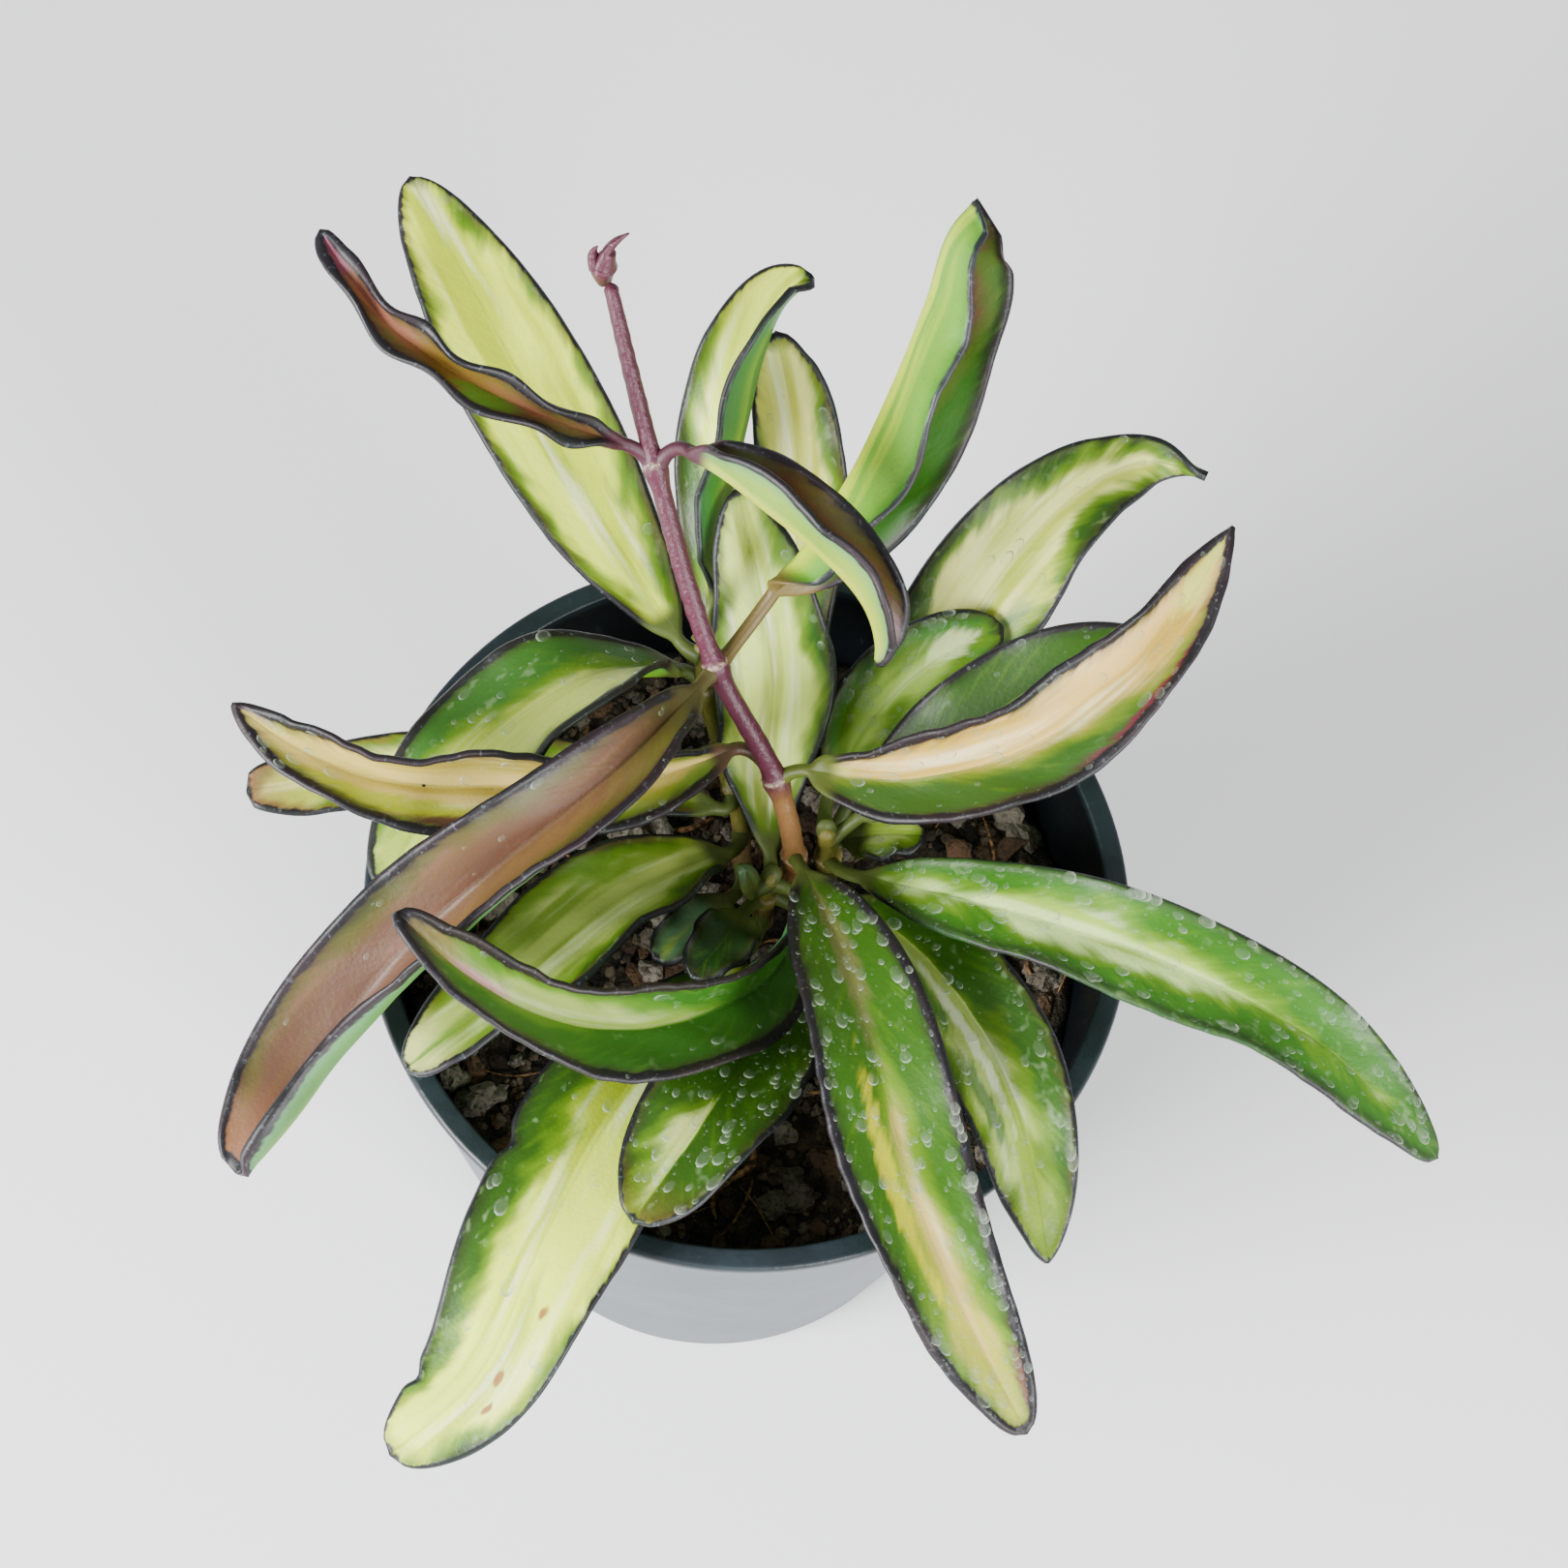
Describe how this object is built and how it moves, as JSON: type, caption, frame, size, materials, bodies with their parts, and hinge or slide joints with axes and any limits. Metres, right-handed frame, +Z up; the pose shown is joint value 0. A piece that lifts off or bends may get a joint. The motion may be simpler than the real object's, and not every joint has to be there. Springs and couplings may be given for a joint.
{
  "type": "potted tricolor hoya plant",
  "caption": "Small house plant with long waxy leaves in cream, pink and green with dark margins, on short stems in a tapered nursery pot of soil.",
  "frame": {"origin": "centre of the pot's flat underside", "axes": "+Z up out of the pot; +Y away from the viewer, the way the main stem leans; +X to the viewer's right"},
  "size_m": [0.16, 0.1557, 0.1576],
  "materials": {
    "pot_plastic": "satin blue-black nursery plastic with a pale mineral bloom",
    "potting_mix": "coarse dark bark, pumice and coir mix",
    "stem_burgundy": "satin burgundy skin with pale flecks",
    "stem_tan": "satin tan bark",
    "leaf_cream": "waxy cream and yellow with a green border and a dark margin",
    "leaf_pink": "waxy pink-cream with an olive border and a dark margin",
    "leaf_tan": "waxy reddish tan with pale veins and a dark margin",
    "leaf_green": "waxy green with pale streaks and a dark margin"
  },
  "bodies": {
    "root": {"pot": "pot_plastic", "soil": "potting_mix", "stem_main": "stem_burgundy", "stem_back": "stem_tan", "stem_front": "stem_tan", "stem_side": "stem_tan", "leaf_back_left_broad": "leaf_cream", "leaf_left_broad": "leaf_cream", "leaf_back_sickle": "leaf_cream", "leaf_left_notched": "leaf_cream", "leaf_back_upright": "leaf_cream", "leaf_left_low": "leaf_cream", "leaf_low_grey": "leaf_green", "leaf_centre_broad": "leaf_cream", "leaf_front_round_tip": "leaf_green", "leaf_front_left_cream": "leaf_cream", "leaf_left_crescent": "leaf_green", "leaf_low_green": "leaf_green", "leaf_bud": "leaf_green", "leaf_top_left_narrow": "leaf_tan", "leaf_top_right_arched": "leaf_tan", "leaf_back_right_folded": "leaf_tan", "leaf_left_long_pink": "leaf_tan", "leaf_right_pink": "leaf_pink", "leaf_left_pink": "leaf_pink", "leaf_front_centre": "leaf_green", "leaf_back_right_broad": "leaf_cream", "leaf_right_round_tip": "leaf_green", "leaf_right_dark_green": "leaf_green", "leaf_right_small": "leaf_green", "leaf_right_long": "leaf_cream", "leaf_front_right": "leaf_cream"}
  },
  "joints": []
}
